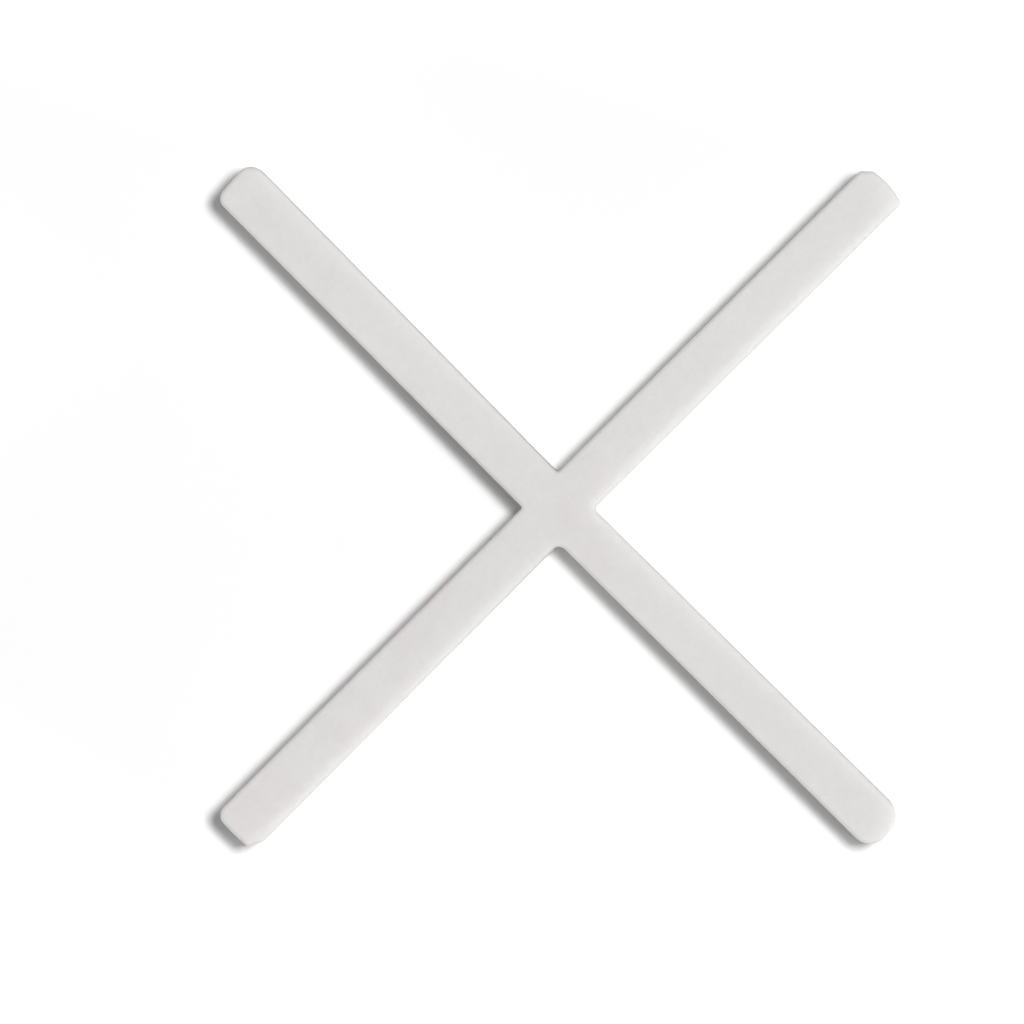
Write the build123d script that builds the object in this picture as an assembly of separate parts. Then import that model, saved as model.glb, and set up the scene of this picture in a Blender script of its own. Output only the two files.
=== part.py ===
from build123d import *
import os
from dataclasses import dataclass
from math import radians, tan

# A cross-shaped tile spacer, moulded in one piece from soft plastic. It lies flat, with the crossing
# of its arms over the origin and its underside at Z = 0. The arms are named by the way they point:
# east is +X, north +Y, west -X and south -Y. The left and right of an arm are those of someone who
# stands at the crossing and looks out along it. Sizes are in millimetres. Angles are in degrees,
# anticlockwise as seen from above.

# The joint that the spacer keeps open, and the moulding's depth
joint_width = 1.6
depth = 3.2

# Each arm's length from the crossing
east_reach = 14.66
north_reach = 14.65
west_reach = 14.57
south_reach = 14.69

# How far each arm leans from its axis
east_lean = -0.17
north_lean = -0.35
west_lean = 0.13
south_lean = 0.33

# How much wider than the joint each arm is at its foot, by the crossing
east_foot_excess = 0.015
north_foot_excess = -0.025
west_foot_excess = 0.02
south_foot_excess = -0.055

# How much wider than the joint each arm is at its end
east_end_excess = 0.04
north_end_excess = 0.06
west_end_excess = 0.065
south_end_excess = -0.005

# How far the middle of each end face stands out past its corners
east_crown = 0.14
north_crown = 0.03
west_crown = 0.06
south_crown = 0.04

# How far each end face is turned from square
east_slant = -0.1
north_slant = 3.3
west_slant = 0.4
south_slant = 3.5

# The rounded corners of the ends, seen from above
east_right_radius = 0.12
north_left_radius = 0.37
north_right_radius = 0.48
west_right_radius = 0.38
south_left_radius = 0.72
south_right_radius = 0.65

# The left corners of the east and west ends are cut off at a slant, and each cut's corners are soft
east_cut_along = 0.2
east_cut_across = 0.31
east_cut_radius = 0.12
west_cut_along = 0.45
west_cut_across = 0.25
west_cut_radius = 0.14

# The inner corners, where two neighbouring arms meet
north_east_radius = 0.08
north_west_radius = 0.08
south_west_radius = 0.26
south_east_radius = 0.15

# The rims of the upper and lower faces
top_rim_radius = 0.1
bottom_rim_radius = 0.06

# The most of an end's width that its two rounded corners may take together
most_rounded = 0.95


@dataclass(frozen=True)
class Arm:
    """One arm: the axis that it follows, its lean and length, its two widths, and its end's form."""

    bearing: float
    lean: float
    reach: float
    foot_width: float
    end_width: float
    crown: float
    slant: float


EAST = Arm(
    0, east_lean, east_reach, joint_width + east_foot_excess, joint_width + east_end_excess,
    east_crown, east_slant,
)
NORTH = Arm(
    90, north_lean, north_reach, joint_width + north_foot_excess, joint_width + north_end_excess,
    north_crown, north_slant,
)
WEST = Arm(
    180, west_lean, west_reach, joint_width + west_foot_excess, joint_width + west_end_excess,
    west_crown, west_slant,
)
SOUTH = Arm(
    270, south_lean, south_reach, joint_width + south_foot_excess, joint_width + south_end_excess,
    south_crown, south_slant,
)


def nearest_corner(face, place):
    """The corner of a face that lies nearest to a place."""
    return face.vertices().sort_by_distance(place)[0]


def end_corners(arm):
    """The left and right corners of an arm's end face before any rounding, with the arm along +X."""
    half_width = arm.end_width / 2
    turned_back = half_width * tan(radians(arm.slant))
    shoulder = arm.reach - arm.crown
    return (shoulder - turned_back, half_width), (shoulder + turned_back, -half_width)


def arm_blank(arm):
    """The arm's plan from the crossing to its crowned end face, with sharp corners, along +X."""
    left, right = end_corners(arm)
    root_left = (0, arm.foot_width / 2)
    root_right = (0, -arm.foot_width / 2)
    outline = Polyline(right, root_right, root_left, left)
    outline += ThreePointArc(left, (arm.reach, 0), right)
    return make_face(outline)


def rounded_arm(arm, left_radius, right_radius):
    """The arm's plan with both corners of its end rounded, each as far as the end has room."""
    left, right = end_corners(arm)
    room = min(1, most_rounded * arm.end_width / (left_radius + right_radius))
    plan = arm_blank(arm)
    plan = fillet(nearest_corner(plan, left), left_radius * room)
    return fillet(nearest_corner(plan, right), right_radius * room)


def cut_arm(arm, cut_along, cut_across, cut_radius, right_radius):
    """The arm's plan with its right corner rounded and its left corner cut off at a slant."""
    left, right = end_corners(arm)
    plan = arm_blank(arm)
    plan = fillet(nearest_corner(plan, right), right_radius)
    side = plan.edges().sort_by(Axis.Y)[-1]
    plan = chamfer(nearest_corner(plan, left), cut_along, cut_across, reference=side)
    cut_start = (left[0] - cut_along, left[1])
    cut_end = (left[0], left[1] - cut_across)
    plan = fillet(nearest_corner(plan, cut_start), cut_radius)
    return fillet(nearest_corner(plan, cut_end), cut_radius)


def turned(plan, arm):
    """An arm's plan turned from +X to the way the arm points."""
    return Rot(0, 0, arm.bearing + arm.lean) * plan


def cross_plan():
    """The whole outline: four arms joined at the hub, with their inner corners rounded."""
    east = cut_arm(EAST, east_cut_along, east_cut_across, east_cut_radius, east_right_radius)
    west = cut_arm(WEST, west_cut_along, west_cut_across, west_cut_radius, west_right_radius)
    plan = turned(east, EAST)
    plan += turned(west, WEST)
    plan += turned(rounded_arm(NORTH, north_left_radius, north_right_radius), NORTH)
    plan += turned(rounded_arm(SOUTH, south_left_radius, south_right_radius), SOUTH)
    half_width = joint_width / 2
    inner_corners = [
        ((half_width, half_width), north_east_radius),
        ((-half_width, half_width), north_west_radius),
        ((-half_width, -half_width), south_west_radius),
        ((half_width, -half_width), south_east_radius),
    ]
    for place, radius in inner_corners:
        plan = fillet(nearest_corner(plan, place), radius)
    return plan


def cross_spacer():
    """The moulding: the outline at its full depth, with upright walls and softened rims."""
    body = extrude(cross_plan(), depth)
    body = fillet(body.edges().group_by(Axis.Z)[-1], top_rim_radius)
    return fillet(body.edges().group_by(Axis.Z)[0], bottom_rim_radius)


os.makedirs("parts", exist_ok=True)
export_step(cross_spacer(), "parts/cross_spacer.step")
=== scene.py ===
"""Looks of a cross-shaped tile spacer: one white plastic moulding that lies on a pale floor.

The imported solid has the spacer's shape, so it stays and is dressed in moulded plastic. The frame is
the solid's own: metres, with the crossing of the arms over the origin, the underside on the floor
and the arms along X and Y.
"""

import logging
import math
from dataclasses import dataclass
from enum import Enum

import bpy
from mathutils import Euler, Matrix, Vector

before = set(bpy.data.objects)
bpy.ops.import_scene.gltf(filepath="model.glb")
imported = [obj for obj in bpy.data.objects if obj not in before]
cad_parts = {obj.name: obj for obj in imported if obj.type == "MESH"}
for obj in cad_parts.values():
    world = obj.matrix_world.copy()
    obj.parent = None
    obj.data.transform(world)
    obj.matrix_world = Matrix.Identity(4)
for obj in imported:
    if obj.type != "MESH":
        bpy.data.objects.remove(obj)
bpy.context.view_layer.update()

log = logging.getLogger("tile_spacer")

MM = 0.001
IMAGE_SIDE = 1024
IMAGE_TURN = -45.0
NOISE_MIDDLE = 0.5

Colour = tuple[float, float, float, float]
Triple = tuple[float, float, float]
Sockets = tuple[bpy.types.NodeSocket, ...]
Source = bpy.types.NodeSocket | float | tuple[float, ...]


class SocketKind(Enum):
    """What a socket of a node group carries."""

    NUMBER = "NodeSocketFloat"
    VECTOR = "NodeSocketVector"


class Lay(Enum):
    """How one colour is laid over another."""

    COVER = "MIX"
    STAIN = "MULTIPLY"


class NodeBench:
    """Places nodes in one node tree and joins them."""

    def __init__(self, tree: bpy.types.NodeTree) -> None:
        """Takes a material's, world's or group's node tree to work in."""
        self.tree = tree

    def place(self, kind: str, **settings: object) -> bpy.types.Node:
        """Adds a node.

        Args:
            kind: The node's type name.
            settings: Attributes to set on it.

        Returns:
            The new node.
        """
        node = self.tree.nodes.new(kind)
        for name, value in settings.items():
            setattr(node, name, value)
        return node

    def feed(self, socket: bpy.types.NodeSocket, source: Source) -> None:
        """Gives an input its value.

        Args:
            socket: The input.
            source: Another node's output to link, or a plain value to set.
        """
        if isinstance(source, bpy.types.NodeSocket):
            self.tree.links.new(source, socket)
        else:
            socket.default_value = source

    def number(self, operation: str, *values: Source) -> bpy.types.NodeSocket:
        """Works out one number.

        Args:
            operation: The Math node's operation.
            values: Its inputs, each a socket or a number.

        Returns:
            The result's socket.
        """
        node = self.place("ShaderNodeMath", operation=operation)
        for socket, value in zip(node.inputs, values):
            self.feed(socket, value)
        return node.outputs[0]

    def vector(self, operation: str, first: Source, second: Source) -> bpy.types.NodeOutputs:
        """Works on two vectors.

        Args:
            operation: The Vector Math node's operation.
            first: The first vector.
            second: The second vector.

        Returns:
            The node's outputs, a Vector and a Value.
        """
        node = self.place("ShaderNodeVectorMath", operation=operation)
        self.feed(node.inputs[0], first)
        self.feed(node.inputs[1], second)
        return node.outputs

    def ramp(self, value: Source, low: Source, high: Source) -> bpy.types.NodeSocket:
        """Turns a range of a value into a smooth 0 to 1.

        Args:
            value: The number to read.
            low: The number that gives 0.
            high: The number that gives 1.

        Returns:
            The result's socket.
        """
        node = self.place("ShaderNodeMapRange", interpolation_type="SMOOTHSTEP")
        self.feed(node.inputs["Value"], value)
        self.feed(node.inputs["From Min"], low)
        self.feed(node.inputs["From Max"], high)
        return node.outputs["Result"]

    def clouds(self, place: Source, size: Source, layers: float, coarse: float) -> bpy.types.NodeSocket:
        """Adds a cloudy noise.

        Args:
            place: The point to read it at.
            size: How far apart the clouds are, in metres.
            layers: How many finer layers it has.
            coarse: How strong the finer layers are.

        Returns:
            The noise's socket, which swings about NOISE_MIDDLE.
        """
        node = self.place("ShaderNodeTexNoise")
        self.feed(node.inputs["Vector"], place)
        self.feed(node.inputs["Scale"], self.number("DIVIDE", 1.0, size))
        node.inputs["Detail"].default_value = layers
        node.inputs["Roughness"].default_value = coarse
        return node.outputs["Fac"]

    def swing(self, noise: Source, width: float) -> bpy.types.NodeSocket:
        """Turns a noise of 0 to 1 into a number that swings about 0 over the given width."""
        return self.number("MULTIPLY", self.number("SUBTRACT", noise, NOISE_MIDDLE), width)

    def lay(self, how: Lay, amount: Source, under: Source, over: Source) -> bpy.types.NodeSocket:
        """Lays one colour over another.

        Args:
            how: The way of laying it.
            amount: How much of the upper colour shows.
            under: The lower colour.
            over: The upper colour.

        Returns:
            The blended colour's socket.
        """
        node = self.place("ShaderNodeMix", data_type="RGBA", blend_type=how.value)
        sockets = {s.identifier: s for s in node.inputs}
        self.feed(sockets["Factor_Float"], amount)
        self.feed(sockets["A_Color"], under)
        self.feed(sockets["B_Color"], over)
        return next(s for s in node.outputs if s.identifier == "Result_Color")


class Effect:
    """A shader effect, built once as a node group and placed in each material with its own values."""

    title: str = ""
    takes: dict[str, tuple[SocketKind, float | None]] = {}
    gives: tuple[str, ...] = ()

    def work_out(self, bench: NodeBench, given: bpy.types.NodeOutputs) -> Sockets:
        """Builds what is inside the group.

        Args:
            bench: The bench on the group's tree.
            given: The group's own inputs, by name.

        Returns:
            One socket for each output, in order.
        """
        raise NotImplementedError

    def group(self) -> bpy.types.NodeTree:
        """Finds the group, and builds it the first time.

        Returns:
            The node group.
        """
        if self.title in bpy.data.node_groups:
            return bpy.data.node_groups[self.title]
        tree = bpy.data.node_groups.new(self.title, "ShaderNodeTree")
        for name, (kind, default) in self.takes.items():
            socket = tree.interface.new_socket(name, in_out="INPUT", socket_type=kind.value)
            if default is not None:
                socket.default_value = default
        for name in self.gives:
            tree.interface.new_socket(name, in_out="OUTPUT", socket_type=SocketKind.NUMBER.value)
        bench = NodeBench(tree)
        given = bench.place("NodeGroupInput").outputs
        result = bench.place("NodeGroupOutput").inputs
        for name, source in zip(self.gives, self.work_out(bench, given)):
            bench.feed(result[name], source)
        return tree

    def put_in(self, bench: NodeBench, **values: Source) -> bpy.types.NodeOutputs:
        """Places the effect in a material.

        Args:
            bench: The bench on the material's tree.
            values: The group's inputs, by name.

        Returns:
            The group's outputs.
        """
        node = bench.place("ShaderNodeGroup", node_tree=self.group())
        for name, value in values.items():
            bench.feed(node.inputs[name], value)
        return node.outputs


class RoundedRim(Effect):
    """Marks where the surface turns from a level face to an upright wall."""

    title = "rounded_rim"
    takes = {"Normal": (SocketKind.VECTOR, None)}
    gives = ("Mask",)
    halfway: float = 0.5

    def work_out(self, bench: NodeBench, given: bpy.types.NodeOutputs) -> Sockets:
        """Builds the mask from how far the normal leans, 1 halfway over and 0 on faces and walls.

        Args:
            bench: The bench on the group's tree.
            given: The group's own inputs, by name.

        Returns:
            The mask's socket.
        """
        parts = bench.place("ShaderNodeSeparateXYZ")
        bench.feed(parts.inputs["Vector"], given["Normal"])
        rise = bench.number("ABSOLUTE", parts.outputs["Z"])
        lean = bench.number("MULTIPLY", rise, bench.number("SUBTRACT", 1.0, rise))
        return (bench.ramp(lean, 0.0, self.halfway ** 2),)


class WarmPatches(Effect):
    """Marks the faint warm patches that plastic gets where its pigment is uneven.

    Without any spread, a patch shows where the noise is above the bare level. The spread brings
    that level down, and over the edge's range of noise a patch comes in.
    """

    title = "warm_patches"
    takes = {
        "Place": (SocketKind.VECTOR, None),
        "Size": (SocketKind.NUMBER, MM),
        "Shift": (SocketKind.VECTOR, None),
        "Middle": (SocketKind.VECTOR, None),
        "Spread": (SocketKind.NUMBER, 0.5),
        "Fade": (SocketKind.NUMBER, 0.0),
    }
    gives = ("Mask",)
    bare_level: float = 0.75
    spread_gain: float = 0.3
    edge: float = 0.16

    def work_out(self, bench: NodeBench, given: bpy.types.NodeOutputs) -> Sockets:
        """Builds soft separate patches, most of them near the middle, where they cover the spread.

        Args:
            bench: The bench on the group's tree.
            given: The group's own inputs, by name.

        Returns:
            The mask's socket.
        """
        away = bench.vector("DISTANCE", given["Place"], given["Middle"])["Value"]
        spread = bench.number("SUBTRACT", given["Spread"], bench.number("MULTIPLY", away, given["Fade"]))
        shifted = bench.vector("ADD", given["Place"], given["Shift"])["Vector"]
        clouds = bench.clouds(shifted, given["Size"], layers=2.0, coarse=0.4)
        gain = bench.number("MULTIPLY", spread, self.spread_gain)
        low = bench.number("SUBTRACT", self.bare_level, gain)
        return (bench.ramp(clouds, low, bench.number("ADD", low, self.edge)),)


class MouldGrain(Effect):
    """The relief that the mould leaves: a fine satin grain over a slow unevenness."""

    title = "mould_grain"
    takes = {
        "Place": (SocketKind.VECTOR, None),
        "Fine": (SocketKind.NUMBER, 0.1 * MM),
        "Waves": (SocketKind.NUMBER, 2.0 * MM),
        "Share": (SocketKind.NUMBER, 0.3),
    }
    gives = ("Height", "Grain")

    def work_out(self, bench: NodeBench, given: bpy.types.NodeOutputs) -> Sockets:
        """Builds the relief, of which the fine grain has the given share.

        Args:
            bench: The bench on the group's tree.
            given: The group's own inputs, by name.

        Returns:
            The height's socket and the fine grain's.
        """
        grain = bench.clouds(given["Place"], given["Fine"], layers=2.0, coarse=0.6)
        waves = bench.clouds(given["Place"], given["Waves"], layers=1.0, coarse=0.5)
        return bench.number("ADD", bench.number("MULTIPLY", grain, given["Share"]), waves), grain


class Scuffs(Effect):
    """Fine short rubs that loose spacers leave on each other.

    The pairs are the noise at which a streak, or a group of streaks, starts to show and shows in full.
    """

    title = "scuffs"
    takes = {
        "Place": (SocketKind.VECTOR, None),
        "Length": (SocketKind.NUMBER, 2.0 * MM),
        "Turn": (SocketKind.NUMBER, 0.6),
    }
    gives = ("Mask",)
    times_as_long: float = 28.0
    streak: tuple[float, float] = (0.66, 0.78)
    cluster: tuple[float, float] = (0.5, 0.65)

    def work_out(self, bench: NodeBench, given: bpy.types.NodeOutputs) -> Sockets:
        """Builds thin streaks along one direction, broken up so that few of them show.

        Args:
            bench: The bench on the group's tree.
            given: The group's own inputs, by name.

        Returns:
            The mask's socket.
        """
        turned = bench.place("ShaderNodeVectorRotate", rotation_type="Z_AXIS")
        bench.feed(turned.inputs["Vector"], given["Place"])
        bench.feed(turned.inputs["Angle"], given["Turn"])
        squeeze = (1.0, self.times_as_long, self.times_as_long)
        drawn = bench.vector("MULTIPLY", turned.outputs["Vector"], squeeze)["Vector"]
        streaks = bench.clouds(drawn, given["Length"], layers=1.0, coarse=0.5)
        clusters = bench.clouds(given["Place"], given["Length"], layers=1.0, coarse=0.5)
        thin = bench.ramp(streaks, *self.streak)
        return (bench.number("MULTIPLY", thin, bench.ramp(clusters, *self.cluster)),)


@dataclass(frozen=True)
class WhitePlastic:
    """Satin white plastic, slightly see-through at its rims.

    The widths and lengths are in metres. Each swing is what a noise from 0 to 1 changes its value by.
    """

    name: str = "white_plastic"
    white: Colour = (0.705, 0.697, 0.684, 1.0)
    warm: Colour = (0.688, 0.646, 0.649, 1.0)
    warm_share: float = 0.5
    patch_size: float = 1.9 * MM
    patch_shift: Triple = (-162.7 * MM, 143.2 * MM, -118.0 * MM)
    patch_middle: Triple = (-12.0 * MM, 0.0, 3.2 * MM)
    patch_spread: float = 1.35
    patch_fade: float = 0.052 / MM
    shade: float = 0.98
    shade_size: float = 5.0 * MM
    shade_swing: float = 0.04
    speckle_size: float = 0.28 * MM
    speckle_swing: float = 0.11
    roughness: float = 0.55
    roughness_swing: float = 0.12
    rim_polish: float = 0.1
    scuff_length: float = 3.0 * MM
    scuff_roughness: float = 0.1
    grain_size: float = 0.09 * MM
    wave_size: float = 1.6 * MM
    grain_share: float = 0.22
    relief: float = 0.012 * MM
    light_depth: Triple = (1.0, 1.0, 1.0)
    light_reach: float = 1.1 * MM
    light_share: float = 0.895

    def build(self) -> bpy.types.Material:
        """Builds the material.

        Returns:
            The finished material.
        """
        material = bpy.data.materials.new(self.name + "_moulded")
        material.use_nodes = True
        bench = NodeBench(material.node_tree)
        shader = material.node_tree.nodes["Principled BSDF"]
        where = bench.place("ShaderNodeTexCoord").outputs
        mould = self._mould(bench, where)
        bench.feed(shader.inputs["Base Color"], self._colour(bench, where))
        bench.feed(shader.inputs["Roughness"], self._roughness(bench, where, mould["Grain"]))
        bench.feed(shader.inputs["Normal"], self._relief(bench, mould["Height"]))
        shader.inputs["Subsurface Weight"].default_value = self.light_share
        shader.inputs["Subsurface Radius"].default_value = self.light_depth
        shader.inputs["Subsurface Scale"].default_value = self.light_reach
        return material

    def _colour(self, bench: NodeBench, where: bpy.types.NodeOutputs) -> bpy.types.NodeSocket:
        """Works out an off-white with faint warm patches, a slow change of shade and a fine speckle.

        Args:
            bench: The bench on the material's tree.
            where: The texture coordinates.

        Returns:
            The colour's socket.
        """
        patches = WarmPatches().put_in(
            bench,
            Place=where["Object"],
            Size=self.patch_size,
            Shift=self.patch_shift,
            Middle=self.patch_middle,
            Spread=self.patch_spread,
            Fade=self.patch_fade,
        )
        amount = bench.number("MULTIPLY", patches["Mask"], self.warm_share)
        colour = bench.lay(Lay.COVER, amount, self.white, self.warm)
        slow = bench.clouds(where["Object"], self.shade_size, layers=2.0, coarse=0.5)
        fine = bench.clouds(where["Object"], self.speckle_size, layers=2.0, coarse=0.9)
        slow = bench.swing(slow, self.shade_swing)
        fine = bench.swing(fine, self.speckle_swing)
        level = bench.number("ADD", bench.number("ADD", slow, fine), self.shade)
        stain = bench.place("ShaderNodeCombineColor")
        for channel in stain.inputs:
            bench.feed(channel, level)
        return bench.lay(Lay.STAIN, 1.0, colour, stain.outputs["Color"])

    def _mould(self, bench: NodeBench, where: bpy.types.NodeOutputs) -> bpy.types.NodeOutputs:
        """Places the relief that the mould leaves.

        Args:
            bench: The bench on the material's tree.
            where: The texture coordinates.

        Returns:
            The group's outputs, a Height and a Grain.
        """
        return MouldGrain().put_in(
            bench,
            Place=where["Object"],
            Fine=self.grain_size,
            Waves=self.wave_size,
            Share=self.grain_share,
        )

    def _roughness(
        self, bench: NodeBench, where: bpy.types.NodeOutputs, grain: bpy.types.NodeSocket
    ) -> bpy.types.NodeSocket:
        """Works out a satin finish with the grain in it, rougher scuffs and smoother rims.

        Args:
            bench: The bench on the material's tree.
            where: The texture coordinates.
            grain: The mould's fine grain.

        Returns:
            The roughness's socket.
        """
        rim = RoundedRim().put_in(bench, Normal=where["Normal"])
        scuffs = Scuffs().put_in(bench, Place=where["Object"], Length=self.scuff_length)
        rubbed = bench.number("MULTIPLY", scuffs["Mask"], self.scuff_roughness)
        polished = bench.number("MULTIPLY", rim["Mask"], self.rim_polish)
        satin = bench.number("ADD", bench.swing(grain, self.roughness_swing), self.roughness)
        return bench.number("SUBTRACT", bench.number("ADD", satin, rubbed), polished)

    def _relief(self, bench: NodeBench, height: bpy.types.NodeSocket) -> bpy.types.NodeSocket:
        """Works out the normals over the mould's relief.

        Args:
            bench: The bench on the material's tree.
            height: The relief's height, from 0 to about 1.

        Returns:
            The normal's socket.
        """
        bump = bench.place("ShaderNodeBump")
        bench.feed(bump.inputs["Strength"], 1.0)
        bench.feed(bump.inputs["Distance"], self.relief)
        bench.feed(bump.inputs["Height"], height)
        return bump.outputs["Normal"]


@dataclass(frozen=True)
class PaleCard:
    """The floor's finish: plain matt card that shows white wherever the light falls on it in full."""

    name: str = "pale_card"
    shown: float = 1.075
    bounced: float = 0.64

    def build(self) -> bpy.types.Material:
        """Builds the material.

        Returns:
            The finished material.
        """
        material = bpy.data.materials.new(self.name)
        material.use_nodes = True
        bench = NodeBench(material.node_tree)
        nodes = material.node_tree.nodes
        nodes.remove(nodes["Principled BSDF"])
        ray = bench.place("ShaderNodeLightPath").outputs
        colour = bench.lay(Lay.COVER, ray["Is Camera Ray"], grey(self.bounced), grey(self.shown))
        matt = bench.place("ShaderNodeBsdfDiffuse")
        bench.feed(matt.inputs["Color"], colour)
        bench.feed(nodes["Material Output"].inputs["Surface"], matt.outputs["BSDF"])
        return material


@dataclass(frozen=True)
class Floor:
    """The level sheet under the spacer. Its size is in metres."""

    half_side: float = 0.5
    finish: PaleCard = PaleCard()

    def build(self) -> bpy.types.Object:
        """Builds the sheet.

        Returns:
            The floor's object.
        """
        reach = self.half_side
        corners = [(-reach, -reach, 0), (reach, -reach, 0), (reach, reach, 0), (-reach, reach, 0)]
        mesh = bpy.data.meshes.new("floor")
        mesh.from_pydata(corners, [], [(0, 1, 2, 3)])
        mesh.materials.append(self.finish.build())
        floor = bpy.data.objects.new("floor", mesh)
        bpy.context.collection.objects.link(floor)
        return floor


@dataclass(frozen=True)
class SideLamp:
    """A far, soft lamp. It is seen from the spacer in the given direction, so many degrees wide."""

    name: str
    towards: Triple
    level: float
    wide: float

    def build(self) -> bpy.types.Object:
        """Hangs the lamp.

        Returns:
            The lamp's object.
        """
        light = bpy.data.lights.new(self.name, "SUN")
        light.energy = self.level * math.pi
        light.angle = math.radians(self.wide)
        lamp = bpy.data.objects.new(self.name, light)
        lamp.rotation_mode = "QUATERNION"
        lamp.rotation_quaternion = Vector(self.towards).to_track_quat("Z", "Y")
        bpy.context.collection.objects.link(lamp)
        return lamp


@dataclass(frozen=True)
class Softbox:
    """A square lamp overhead, in metres, whose sides stand as the image's do.

    It hangs so many degrees to the image's right and top.
    """

    name: str = "key_lamp"
    lean_right: float = 7.47
    lean_up: float = 3.32
    level: float = 0.699
    side: float = 0.115
    distance: float = 1.0

    def build(self) -> bpy.types.Object:
        """Hangs the lamp.

        Returns:
            The lamp's object.
        """
        pose = overhead_pose(self.lean_right, self.lean_up)
        light = bpy.data.lights.new(self.name, "AREA")
        light.shape = "SQUARE"
        light.size = self.side
        light.energy = self.level * (math.pi * self.distance) ** 2
        lamp = bpy.data.objects.new(self.name, light)
        lamp.location = pose.to_matrix() @ Vector((0.0, 0.0, self.distance))
        lamp.rotation_euler = pose
        bpy.context.collection.objects.link(lamp)
        return lamp


@dataclass(frozen=True)
class Sky:
    """Even light from all round, and the white that is seen and mirrored behind the spacer."""

    light: float = 0.225
    white: float = 1.0

    def build(self) -> bpy.types.World:
        """Builds the world and puts it in the scene.

        Returns:
            The world.
        """
        world = bpy.data.worlds.new("studio_sky")
        world.use_nodes = True
        bench = NodeBench(world.node_tree)
        ray = bench.place("ShaderNodeLightPath").outputs
        seen = bench.number("MAXIMUM", ray["Is Camera Ray"], ray["Is Glossy Ray"])
        seen = bench.number("MAXIMUM", seen, ray["Is Transmission Ray"])
        rise = bench.number("MULTIPLY", seen, self.white - self.light)
        background = world.node_tree.nodes["Background"]
        background.inputs["Color"].default_value = grey(1.0)
        bench.feed(background.inputs["Strength"], bench.number("ADD", rise, self.light))
        bpy.context.scene.world = world
        return world


@dataclass(frozen=True)
class OverheadCamera:
    """A camera with a long lens that looks down, a little from the image's right and top.

    The lens and sensor are in millimetres, the face's height in metres, the leans in degrees and
    the scale in pixels per metre. The crossing stands so many pixels right of the image's centre and
    above it. The camera sees from the nth part of its distance to n times the distance, n being the
    clip range.
    """

    lens: float = 900.0
    sensor: float = 36.0
    scale: float = 31.57 / MM
    height_of_face: float = 3.2 * MM
    lean_right: float = 0.62
    lean_up: float = 0.1
    crossing_right: float = 45.8
    crossing_up: float = 3.8
    clip_range: float = 100.0

    def build(self) -> bpy.types.Object:
        """Sets up the camera and puts it in the scene.

        Returns:
            The camera's object.
        """
        away = self.lens / self.sensor * IMAGE_SIDE / self.scale
        aim = Vector((-self.crossing_right, -self.crossing_up, 0.0)) / self.scale
        aim.rotate(overhead_pose(0.0, 0.0))
        aim.z = self.height_of_face
        pose = overhead_pose(self.lean_right, self.lean_up)
        lens = bpy.data.cameras.new("overhead_camera")
        lens.lens = self.lens
        lens.sensor_width = self.sensor
        lens.clip_start = away / self.clip_range
        lens.clip_end = away * self.clip_range
        camera = bpy.data.objects.new("overhead_camera", lens)
        camera.location = aim + pose.to_matrix() @ Vector((0.0, 0.0, away))
        camera.rotation_euler = pose
        bpy.context.collection.objects.link(camera)
        bpy.context.scene.camera = camera
        return camera


@dataclass(frozen=True)
class Studio:
    """The floor, the lamps, the sky and the camera round the spacer."""

    floor: Floor = Floor()
    key: Softbox = Softbox()
    side: SideLamp = SideLamp("side_lamp", towards=(0.387, -0.98, 0.053), level=0.68, wide=24.0)
    fill: SideLamp = SideLamp("fill_lamp", towards=(-1.0, -0.395, 0.023), level=0.15, wide=24.0)
    sky: Sky = Sky()
    camera: OverheadCamera = OverheadCamera()

    def build(self) -> list[bpy.types.ID]:
        """Builds everything that isn't the spacer.

        Returns:
            The floor, the lamps, the world and the camera.
        """
        bpy.context.scene.view_settings.view_transform = "Standard"
        parts = (self.floor, self.key, self.side, self.fill, self.sky, self.camera)
        return [part.build() for part in parts]


@dataclass(frozen=True)
class CrossSpacer:
    """The spacer: one moulding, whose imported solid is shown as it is."""

    node: str = "cross_spacer"
    finish: WhitePlastic = WhitePlastic()

    def build(self) -> bpy.types.Object:
        """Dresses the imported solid.

        Returns:
            The spacer's object.
        """
        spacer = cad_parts[self.node]
        plastic = self.finish.build()
        for slot in spacer.material_slots:
            slot.material = plastic
        return spacer


def grey(level: float) -> Colour:
    """A plain grey of the given linear level."""
    return (level, level, level, 1.0)


def overhead_pose(right: float, up: float) -> Euler:
    """The pose of what looks down from so many degrees to the image's right and top."""
    return Euler((math.radians(-up), math.radians(right), math.radians(IMAGE_TURN)))


def main() -> None:
    """Builds the studio and the spacer, and reports each piece."""
    logging.basicConfig(level=logging.INFO, format="%(name)s: %(message)s")
    for item in Studio().build():
        log.info("studio: %s", item.name)
    spacer = CrossSpacer().build()
    log.info("piece: %s, %d faces", spacer.name, len(spacer.data.polygons))


if __name__ == "__main__":
    main()
